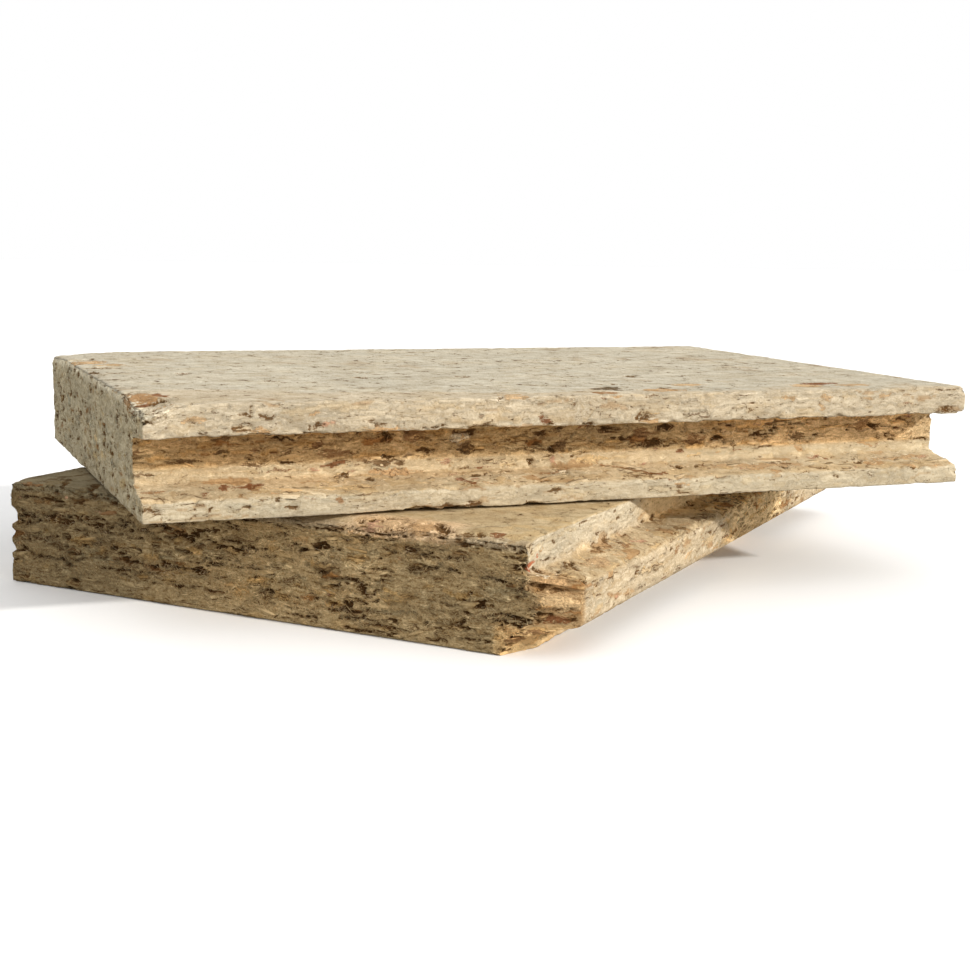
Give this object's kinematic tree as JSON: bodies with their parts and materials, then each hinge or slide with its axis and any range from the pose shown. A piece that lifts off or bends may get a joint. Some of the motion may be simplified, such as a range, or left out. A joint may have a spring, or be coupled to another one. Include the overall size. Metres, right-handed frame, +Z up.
{
  "type": "stack of osb panels",
  "caption": "Thick tongue-and-groove OSB offcuts lying crosswise on each other, with raw sawn edges of pressed wood strands; raw stock for floors, roofs and sheathing.",
  "frame": {"origin": "on the floor, under the middle of the bounding box", "axes": "+X along the upper panel's grooved edge, +Y from its groove to its back edge, +Z up"},
  "size_m": [0.224, 0.2162, 0.0443],
  "materials": {
    "top_panel": "pressed and sawn, bare",
    "bottom_panel": "pressed and sawn, bare"
  },
  "bodies": {
    "root": {"top_panel": "top_panel", "bottom_panel": "bottom_panel"}
  },
  "joints": []
}
